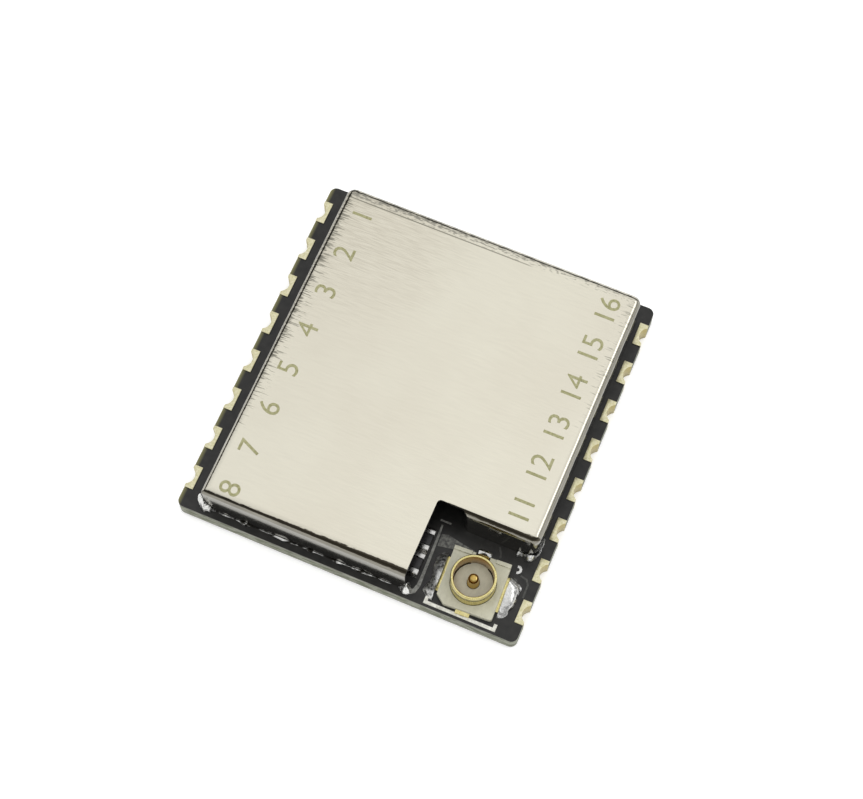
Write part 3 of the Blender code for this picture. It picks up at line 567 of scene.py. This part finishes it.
# Alumina body, co-fired: brown-grey and matt with a dusty grain.
FIRED_CERAMIC = Grained(
    "cofired_alumina", "crystal_ceramic", "#6E665C", 0.0, 0.60, "#857C70", grain=0.10, relief=0.003)
# Kovar lid, seam welded and gold flashed: pale yellow grey with a brushed grain.
WELDED_LID = Grained(
    "seam_welded_kovar", "crystal_lid_metal", "#C7BC93", 1.0, 0.33, "#D8CFA9", grain=(0.9, 0.06, 0.3),
    relief=0.001)
# Nickel-zinc ferrite, pressed and sintered: charcoal and rough.
SINTERED_FERRITE = Grained(
    "sintered_ferrite", "inductor_ferrite", "#3A3A3B", 0.0, 0.68, "#4C4B4B", grain=0.05, relief=0.006)
# Barium titanate chip, co-fired in layers: tan brown and half matt.
LAYERED_CERAMIC = Grained(
    "layered_titanate_ceramic", "filter_ceramic", "#8A6B4B", 0.0, 0.50, "#A07F5C",
    grain=(0.4, 0.4, 0.05), relief=0.003)
# Epoxy ink, screen printed on the mask: off-white, thin enough to look a little grey.
SCREEN_INK = Grained(
    "screen_printed_epoxy_ink", "board_laminate", "#B8B7AC", 0.0, 0.55, "#E2E1D8", grain=0.12,
    relief=0.004)
# Copper track under the mask: a low ridge, painted greyer than the mask round it as painted sheen.
TENTED_COPPER_PAINTED_SHEEN = Grained(
    "tented_copper_track_painted_sheen", "board_laminate", "#5A5A56", 0.0, 0.36, "#8C8C86", grain=0.16, relief=0.006)
# The same copper as an area behind the receptacle, under wrinkled mask: its lighter mottles are painted
# sheen.
TENTED_POUR_PAINTED_SHEEN = Grained(
    "tented_copper_pour_painted_sheen", "board_laminate", "#2C2C2A", 0.0, 0.40, "#74746E", grain=0.14, relief=0.010)
# The same copper beside the receptacle, where the mask lies thicker and darker on it.
BURIED_COPPER = Grained(
    "buried_copper_track", "board_laminate", "#2B2B29", 0.0, 0.36, "#444440", grain=0.16, relief=0.006)


def put(name: str, data: bpy.types.ID) -> Piece:
    """Put an object with its data in the scene and return it."""
    made = bpy.data.objects.new(name, data)
    bpy.context.scene.collection.objects.link(made)
    return made


def shared_group(name: str) -> tuple[Tree, bool]:
    """Find or start a geometry node group with one geometry in and one out.

    Args:
        name: Name of the group.

    Returns:
        The group, and whether it is new and still empty.
    """
    found = bpy.data.node_groups.get(name)
    if found is not None:
        return found, False
    group = bpy.data.node_groups.new(name, "GeometryNodeTree")
    for way in ("INPUT", "OUTPUT"):
        group.interface.new_socket("Geometry", in_out=way, socket_type="NodeSocketGeometry")
    return group, True


def edges_over(group: Tree, degrees: float) -> Node:
    """Return a node that is true on edges that turn by more than so many degrees."""
    angle = add_node(group, "GeometryNodeInputMeshEdgeAngle")
    return add_node(group, "Math GREATER_THAN", {0: angle, 1: math.radians(degrees)})


def modify(piece: Piece, name: str, kind: str, **settings: object) -> None:
    """Add a modifier.

    Args:
        piece: Piece that takes it.
        name: Its name.
        kind: Blender's type name for it.
        settings: Its properties.
    """
    modifier = piece.modifiers.new(name, kind)
    for key, value in settings.items():
        setattr(modifier, key, value)


def shade_round(piece: Piece, degrees: float = CRISP_TURN) -> None:
    """Shade a piece smooth except along its folded edges.

    Args:
        piece: Piece whose last modifier this becomes.
        degrees: Turn from which an edge stays crisp.
    """
    group, is_new = shared_group(f"round_below_{degrees:.0f}")
    if is_new:
        start = add_node(group, "NodeGroupInput")
        normals = add_node(group, "GeometryNodeSetMeshNormal", {"mode": "SHARPNESS",
                                                                "Remove Custom": True,
                                                                "Face Sharpness": False,
                                                                "Mesh": start.outputs[0],
                                                                "Edge Sharpness": edges_over(group,
                                                                                             degrees)})
        add_node(group, "NodeGroupOutput", {0: normals})
    modify(piece, "shading", "NODES", node_group=group)


@dataclass(frozen=True)
class Lumps:
    """Unevenness that the solder froze with."""

    size: float                 # of one lump
    height: float               # how far lumps stand out at most
    detail: float               # smaller lumps on them, 0 for none
    calming: int = 0            # rounds in which surface tension evens the joint out
    middle: float = 0.42        # noise value that neither swells nor sinks
    underside: float = 0.05     # upward part of the normal up to which the solder keeps its shape


def swell(piece: Piece, lumps: Lumps) -> None:
    """Turn a faceted solder solid into a smooth lumpy one.

    Args:
        piece: Solder piece with welded corners.
        lumps: How it is uneven.
    """
    group, is_new = shared_group(f"swell_{lumps.size:.3f}_{lumps.height:.3f}")
    if is_new:
        add = partial(add_node, group)
        start = add("NodeGroupInput")
        place = add("GeometryNodeInputPosition")
        normal = add("GeometryNodeInputNormal").outputs["Normal"]
        up = add("SeparateXYZ", {"Vector": normal})
        free = add("Math GREATER_THAN", {0: up.outputs["Z"], 1: lumps.underside})
        foot = edges_over(group, SOLDER_FOOT_TURN)
        contact = add("GeometryNodeFieldOnDomain",
                      {"domain": "EDGE", "data_type": "FLOAT", "Value": foot})
        inner = add("Math LESS_THAN", {0: contact, 1: 0.01})
        weight = add("Math MULTIPLY", {0: inner, 1: free})
        even = add("GeometryNodeBlurAttribute",
                   {"data_type": "FLOAT_VECTOR", "Iterations": lumps.calming, "Value": place,
                    "Weight": weight})
        calm = add("GeometryNodeSetPosition", {"Geometry": start.outputs[0], "Position": even})
        finer = add("GeometryNodeSubdivisionSurface", {"Level": 2, "Mesh": calm, "Edge Crease": foot})
        noise = add("TexNoise", {"Scale": 1.0 / (lumps.size * MM), "Detail": lumps.detail,
                                 "Vector": place})
        centred = add("Math SUBTRACT", {0: noise, 1: lumps.middle})
        amount = add("Math MULTIPLY", {0: centred, 1: 2.0 * lumps.height * MM})
        offset = add("VectorMath SCALE", {0: normal, "Scale": amount})
        moved = add("GeometryNodeSetPosition", {"Geometry": finer, "Selection": free, "Offset": offset})
        add("NodeGroupOutput", {0: moved})
    modify(piece, "lumps", "NODES", node_group=group)


def welded(node: str, finish: Finish) -> Piece:
    """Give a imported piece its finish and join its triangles.

    Args:
        node: Name of the piece.
        finish: Its finish.

    Returns:
        The piece.
    """
    piece = bpy.data.objects[node]
    piece.data.materials[0] = finish.material()
    modify(piece, "weld", "WELD", merge_threshold=WELD_REACH)
    return piece


def dress(node: str, finish: Finish, edge: float) -> Piece:
    """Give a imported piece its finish, round shading and worn or moulded edges.

    Args:
        node: Name of the piece.
        finish: Its finish.
        edge: Radius of its edges.

    Returns:
        The piece.
    """
    piece = welded(node, finish)
    modify(piece, "plain_faces", "DECIMATE", decimate_type="DISSOLVE",
           angle_limit=math.radians(FLAT_TURN))
    modify(piece, "edges", "BEVEL", width=edge * MM, segments=2, limit_method="ANGLE",
           angle_limit=math.radians(BEVEL_TURN))
    shade_round(piece)
    modify(piece, "level_faces", "WEIGHTED_NORMAL", keep_sharp=True)
    return piece


def new_piece(name: str, bm: Mesh, finish: Finish) -> Piece:
    """Turn a bmesh in millimetres into a piece that rides on the module.

    Args:
        name: Name of the piece.
        bm: Its mesh, which is freed.
        finish: Its finish.

    Returns:
        The piece.
    """
    bmesh.ops.scale(bm, vec=(MM, MM, MM), verts=bm.verts)
    bmesh.ops.recalc_face_normals(bm, faces=bm.faces)
    mesh = bpy.data.meshes.new(name)
    bm.to_mesh(mesh)
    bm.free()
    mesh.materials.append(finish.material())
    piece = put(name, mesh)
    shade_round(piece)
    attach(piece, BODY)
    return piece


def slab(bm: Mesh, outline: Sequence[Point], low: float, high: float) -> None:
    """Add an upright prism.

    Args:
        bm: Mesh that takes it.
        outline: Corners in plan.
        low: Height of its underside.
        high: Height of its top.
    """
    lower = [bm.verts.new((x, y, low)) for x, y in outline]
    upper = [bm.verts.new((x, y, high)) for x, y in outline]
    count = len(outline)
    for i in range(count):
        j = (i + 1) % count
        bm.faces.new((lower[i], lower[j], upper[j], upper[i]))
    bm.faces.new(list(reversed(lower)))
    bm.faces.new(upper)


def route(start: Point, steps: Sequence[Point]) -> list[Point]:
    """Return points that are given by their distances from one place."""
    return [(start[0] + x, start[1] + y) for x, y in steps]


def ribbon(points: Sequence[Point], width: float, end_width: float | None = None) -> list[Point]:
    """Outline of a printed line with mitred corners.

    Args:
        points: Middle of the line.
        width: Its width.
        end_width: Its width at the last point, or None where it stays the same.

    Returns:
        Outline, along the left side and back along the right one.
    """
    left = []
    right = []
    last = len(points) - 1
    for i, (x, y) in enumerate(points):
        before = Vector(points[max(i - 1, 0)])
        after = Vector(points[min(i + 1, last)])
        here = Vector((x, y))
        into = (here - before).normalized() if i > 0 else (after - here).normalized()
        out = (after - here).normalized() if i < last else into
        across = Vector((-into.y - out.y, into.x + out.x)).normalized()
        wide = width if end_width is None else width + (end_width - width) * i / last
        # A sharp bend is cut off where its mitre would stick out further than this.
        reach = wide / 2 / max(0.35, across.dot(Vector((-into.y, into.x))))
        left.append((x + across.x * reach, y + across.y * reach))
        right.append((x - across.x * reach, y - across.y * reach))
    return left + right[::-1]


def box_mm(node: str) -> tuple[Vector, Vector]:
    """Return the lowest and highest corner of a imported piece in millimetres."""
    low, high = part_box(node)
    return low / MM, high / MM


class Side(Enum):
    """The two long sides of the board."""

    LEFT = "l"
    RIGHT = "r"


@dataclass
class ShieldCan:
    """The stamped can and the terminal numbers marked on it."""

    edge: float = 0.018
    mark_height: float = 0.0015     # oxide of the marks
    digit_height: float = 0.98
    digit_inset: float = 1.20       # middle of a number to the can's side
    row_shift: float = 0.42         # forwards from the middle of its terminal
    numbers_left: Sequence[int] = (8, 7, 6, 5, 4, 3, 2, 1)
    numbers_right: Sequence[int | None] = (None, None, 11, 12, 13, 14, 15, 16)

    def build(self) -> list[Piece]:
        """Dress the can and add its marks."""
        low, high = box_mm("shield_can")
        steel = RolledTinplate("rolled_tinplate", "can_tinned_steel", "#DDD9CA", 1.0, 0.20,
                               rim_left=low.x, rim_right=high.x, rim_back=high.y)
        return [dress("shield_can", steel, self.edge), self.numbers(low, high)]

    def numbers(self, low: Vector, high: Vector) -> Piece:
        """Mark a number beside each terminal that the can reaches.

        Args:
            low: Lowest corner of the can.
            high: Its highest corner.

        Returns:
            The marks as one piece.
        """
        mark = LaserMark("laser_mark_on_tinplate", "can_tinned_steel", "#A7A580", 0.35, 0.58)
        base = high.z + PRINT_GAP
        bm = bmesh.new()
        for side, numbers in ((Side.LEFT, self.numbers_left), (Side.RIGHT, self.numbers_right)):
            edge, inwards = (low.x, 1.0) if side is Side.LEFT else (high.x, -1.0)
            for row, number in enumerate(numbers):
                if number is None:
                    continue
                pad_low, pad_high = box_mm(f"pad_{side.value}{row + 1}")
                middle = (pad_low.y + pad_high.y) / 2 - self.row_shift
                self.add_digits(bm, str(number), (edge + inwards * self.digit_inset, middle), base)
        return new_piece("terminal_numbers", bm, mark)

    def add_digits(self, bm: Mesh, text: str, middle: Point, base: float) -> None:
        """Add a number that reads from front to back.

        Args:
            bm: Mesh that takes it.
            text: Its digits.
            middle: Where its middle lies.
            base: Height of its underside.
        """
        curve = bpy.data.curves.new("digits", "FONT")
        curve.body = text
        curve.align_x = "CENTER"
        curve.align_y = "CENTER"
        curve.size = self.digit_height / DIGIT_SHARE
        curve.extrude = self.mark_height / 2
        curve.resolution_u = 4
        carrier = put("digits", curve)
        bpy.context.view_layer.update()
        graph = bpy.context.evaluated_depsgraph_get()
        mesh = bpy.data.meshes.new_from_object(carrier.evaluated_get(graph))
        place = Matrix.Translation((*middle, base + self.mark_height / 2))
        mesh.transform(place @ Matrix.Rotation(math.radians(90.0), 4, "Z"))
        bm.from_mesh(mesh)
        bpy.data.objects.remove(carrier, do_unlink=True)
        bpy.data.curves.remove(curve)
        bpy.data.meshes.remove(mesh)


@dataclass
class Board:
    """The laminate, its plated half-holes and what is printed on the mask."""

    edge: float = 0.02
    land_edge: float = 0.010
    ink_height: float = 0.014
    ink_width: float = 0.15
    bracket_left: float = 0.25      # from the receptacle to the bracket's left arm
    bracket_right: float = 0.22
    bracket_rim: float = 0.20       # from the board's front rim
    bracket_arms: Point = (0.42, 0.26)
    fence_gap: float = 0.16         # from the resistors to the long track beside them
    fence_width: float = 0.22       # of that track at its front end
    track_width: float = 0.08
    pour_height: float = 0.006
    via_radius: float = 0.14
    via_width: float = 0.11
    via_height: float = 0.03

    def build(self) -> list[Piece]:
        """Dress the board and its lands and add the print."""
        low, high = box_mm("board")
        laminate = MaskedLaminate("solder_mask_on_glass_laminate", "board_laminate", "#2B2A2C", 0.0,
                                  0.30, top=high.z, bottom=low.z, rim_left=low.x)
        pieces = [dress("board", laminate, self.edge)]
        for side in Side:
            for row in range(PADS_PER_SIDE):
                pieces.append(dress(f"pad_{side.value}{row + 1}", IMMERSION_GOLD, self.land_edge))
        pieces += self.lines_in_bay(low.y, high.z)
        return pieces

    def lines_in_bay(self, front: float, top: float) -> list[Piece]:
        """Print the bracket round the receptacle and raise the tracks under the mask.

        Args:
            front: Front rim of the board.
            top: Height of the mask.

        Returns:
            The print, the tracks and the rim of a via.
        """
        low, high = box_mm("connector_housing")
        column = box_mm("resistor_1_body")[1].x + self.fence_gap
        left = low.x - self.bracket_left
        right = high.x + self.bracket_right
        level = front + self.bracket_rim
        bracket = [(left, level + self.bracket_arms[0]), (left, level), (right, level),
                   (right, level + self.bracket_arms[1])]
        fence = (route((column, high.y), ((-0.04, 0.62), (0.0, 0.0)))
                 + route((column, low.y), ((0.06, 0.90), (0.07, 0.40), (-0.02, 0.10), (-0.20, -0.02))))
        stub = route((column, high.y), ((-0.20, 0.80), (0.30, 0.80)))
        feed = route((right, high.y), ((-1.16, 0.66), (-1.00, 0.42), (-0.94, 0.20)))
        ground = route((right, high.y), ((0.16, -0.18), (0.46, -0.24), (0.60, -0.45), (0.62, -1.06)))
        pour = (route((column, high.y), ((0.10, 0.22), (0.36, 0.30)))
                + route((low.x, high.y), ((0.16, 0.18), (0.90, 0.06), (0.90, -0.30), (-0.05, -0.22)))
                + route((column, high.y), ((0.12, -0.34),)))
        angles = [math.radians(degrees) for degrees in range(110, -95, -20)]
        via = route((right - 0.06, high.y + 0.02),
                    [(self.via_radius * math.cos(a), self.via_radius * math.sin(a)) for a in angles])
        pieces = []
        for name, outlines, height, finish in (
                ("printed_bracket", [ribbon(bracket, self.ink_width)], self.ink_height, SCREEN_INK),
                # The tented tracks are painted greyer than the mask, as painted sheen.
                ("tented_tracks_painted_sheen", [ribbon(fence, self.track_width, self.fence_width),
                                   ribbon(stub, self.track_width)], self.ink_height, TENTED_COPPER_PAINTED_SHEEN),
                # The pour's lighter mottles are painted sheen.
                ("tented_pour_painted_sheen", [pour], self.pour_height, TENTED_POUR_PAINTED_SHEEN),
                ("buried_tracks", [ribbon(feed, self.track_width), ribbon(ground, self.track_width)],
                 self.ink_height, BURIED_COPPER),
                ("via_rim", [ribbon(via, self.via_width)], self.via_height, REFLOWED_SOLDER)):
            bm = bmesh.new()
            for outline in outlines:
                slab(bm, outline, top + PRINT_GAP, top + PRINT_GAP + height)
            pieces.append(new_piece(name, bm, finish))
        return pieces


@dataclass
class AntennaReceptacle:
    """The moulded housing, the drawn shell and the centre pin."""

    housing_edge: float = 0.025
    metal_edge: float = 0.012

    def build(self) -> list[Piece]:
        """Dress the three pieces."""
        low, high = box_mm("connector_pin")
        drawn_gold = DrawnGold("drawn_bronze_gold_plated", "shell_gold", "#CDBF78", 1.0, 0.15,
                               "#E7DCA6", grain=(0.07, 0.07, 0.8), relief=0.0012,
                               centre=((low.x + high.x) / 2, (low.y + high.y) / 2))
        return [dress("connector_housing", MOULDED_LCP, self.housing_edge),
                dress("connector_shell", drawn_gold, self.metal_edge),
                dress("connector_pin", TURNED_GOLD, self.metal_edge)]


@dataclass
class SolderJoints:
    """The joints of the can, laid with an iron, and those of the receptacle, reflowed."""

    crinkle: Lumps = Lumps(size=0.16, height=0.035, detail=2.0)
    drop: Lumps = Lumps(size=0.30, height=0.020, detail=1.0)
    bead: Lumps = Lumps(size=0.10, height=0.008, detail=1.0)
    pillow: Lumps = Lumps(size=0.50, height=0.024, detail=1.0, calming=5)

    def build(self) -> list[Piece]:
        """Dress the joints and make them lumpy."""
        pieces = []
        for node, finish, lumps in (("solder_can_bay", IRON_SOLDER, self.drop),
                                    ("solder_can_corner", IRON_SOLDER, self.crinkle),
                                    ("solder_can_end", IRON_SOLDER, self.drop),
                                    ("solder_can_front", SOLDER_WITH_PAINTED_GLINTS, self.bead),
                                    ("solder_shell_left", DULLED_SOLDER, self.pillow),
                                    ("solder_shell_right", REFLOWED_SOLDER, self.pillow),
                                    ("solder_signal", REFLOWED_SOLDER, self.pillow)):
            piece = welded(node, finish)
            swell(piece, lumps)
            shade_round(piece, SOLDER_CRISP_TURN)
            pieces.append(piece)
        return pieces


@dataclass
class SmallParts:
    """The chip resistors in the bay and what the can covers."""

    edge: float = 0.02

    def build(self) -> list[Piece]:
        """Dress each part in its own finish."""
        finishes = {"transceiver_chip": TRANSFER_EPOXY, "switch_chip": TRANSFER_EPOXY,
                    "crystal_base": FIRED_CERAMIC, "crystal_lid": WELDED_LID,
                    "inductor": SINTERED_FERRITE, "filter_1": LAYERED_CERAMIC,
                    "filter_2": LAYERED_CERAMIC, "filter_3": LAYERED_CERAMIC}
        for number in (1, 2):
            finishes[f"resistor_{number}_body"] = OVERGLAZE
            finishes[f"resistor_{number}_cap_back"] = BARREL_TIN
            finishes[f"resistor_{number}_cap_front"] = BARREL_TIN
        return [dress(node, finish, self.edge) for node, finish in finishes.items()]


@dataclass
class Studio:
    """Pale floor, soft light from above and the camera."""

    floor_size: float = 1200.0
    floor_gap: float = 0.01         # the lands rest on high spots of the paper
    floor_glow: float = 0.32        # for the camera and in mirrors, so that the paper stays white
    camera_place: Sequence[float] = (12.81, -28.80, 84.25)
    camera_aim: Sequence[float] = (0.361, 0.446, 1.0)
    lens: float = 83.48
    sky_lean: Sequence[float] = (0.0, 0.23, 0.91)       # direction that the bright sky leans to
    sky: Sequence[tuple[float, str]] = ((0.05, "#D8D8D8"), (0.22, "#9C9C9C"), (0.474, "#A2A2A2"),
                                        (0.603, "#E2E2E2"), (0.905, "#F0F0F0"), (0.936, "#FFFFFF"))
    sky_strength: float = 1.10
    # Name, place, size, radiance, and whether metal mirrors it.
    lamps: Sequence[tuple[str, Sequence[float], Point, float, bool]] = (
        ("right_card", (220.0, 99.0, 176.0), (300.0, 66.0), 1.7, True),
        ("top_fill", (0.0, -60.0, 600.0), (800.0, 800.0), 1.10, False))

    def build(self) -> None:
        """Set the floor, the light and the camera."""
        self.lay_floor()
        self.light()
        self.place_camera()

    def lay_floor(self) -> None:
        """Lay a white paper floor that keeps the module's shadow."""
        half = self.floor_size * MM / 2
        level = -self.floor_gap * MM
        mesh = bpy.data.meshes.new("floor")
        mesh.from_pydata([(x, y, level) for x, y in ((-half, -half), (half, -half), (half, half),
                                                     (-half, half))], [], [(0, 1, 2, 3)])
        paper = bpy.data.materials.new("matt_white_paper")
        paper.use_nodes = True
        tree = paper.node_tree
        add = partial(add_node, tree)
        rays = add("LightPath")
        seen = add("Math ADD", {0: rays.outputs["Is Camera Ray"], 1: rays.outputs["Is Glossy Ray"]})
        seen_all = add("Math ADD", {0: seen, 1: rays.outputs["Is Transmission Ray"]})
        glow = add("Math MULTIPLY", {0: seen_all, 1: self.floor_glow})
        fill(tree, tree.nodes["Principled BSDF"],
             {"Base Color": "#EDEDED", "Roughness": 0.9, "Emission Color": "#FFFFFF",
              "Emission Strength": glow})
        mesh.materials.append(paper)
        floor = put("floor", mesh)

    def light(self) -> None:
        """Light the module with a sky that is brightest above, a card on the right and a fill.

        Metal mirrors the sky and the card. The fill lights only what scatters light, such as the
        floor, the print and the moulding. The camera sees plain white beyond the floor.
        """
        world = bpy.data.worlds.new("studio")
        world.use_nodes = True
        bpy.context.scene.world = world
        tree = world.node_tree
        add = partial(add_node, tree)
        background = tree.nodes["Background"]
        direction = add("TexCoord")
        height = add("VectorMath DOT_PRODUCT", {0: direction.outputs["Generated"], 1: self.sky_lean})
        sky = add("ValToRGB", {"ramp": self.sky, "Fac": height})
        fill(tree, background, {"Color": sky, "Strength": self.sky_strength})
        rays = add("LightPath")
        plain = add("Background", {"Color": "#FFFFFF", "Strength": 1.0})
        seen = add("MixShader", {0: rays.outputs["Is Camera Ray"], 1: background, 2: plain})
        fill(tree, tree.nodes["World Output"], {"Surface": seen})
        for name, place, size, radiance, reflected in self.lamps:
            card = bpy.data.lights.new(name, "AREA")
            card.shape = "RECTANGLE"
            card.size = size[0] * MM
            card.size_y = size[1] * MM
            card.energy = math.pi * card.size * card.size_y * radiance
            lamp = put(name, card)
            lamp.location = Vector(place) * MM
            lamp.rotation_euler = (-lamp.location).to_track_quat("-Z", "Y").to_euler()
            lamp.visible_glossy = reflected

    def place_camera(self) -> None:
        """Stand the camera where the photograph was taken from."""
        data = bpy.data.cameras.new("camera")
        data.lens = self.lens
        data.clip_start = MM
        camera = put("camera", data)
        camera.location = Vector(self.camera_place) * MM
        gaze = Vector(self.camera_aim) * MM - camera.location
        camera.rotation_euler = gaze.to_track_quat("-Z", "Y").to_euler()
        bpy.context.scene.camera = camera
        bpy.context.scene.view_settings.view_transform = "Standard"


def main() -> None:
    """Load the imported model, dress it and set the studio."""
    logging.basicConfig(level=logging.INFO, format="%(name)s: %(message)s")
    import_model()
    for part in (Board(), ShieldCan(), AntennaReceptacle(), SolderJoints(), SmallParts()):
        for piece in part.build():
            log.info("%s: %s with %s", type(part).__name__, piece.name, piece.data.materials[0].name)
    Studio().build()


if __name__ == "__main__":
    main()
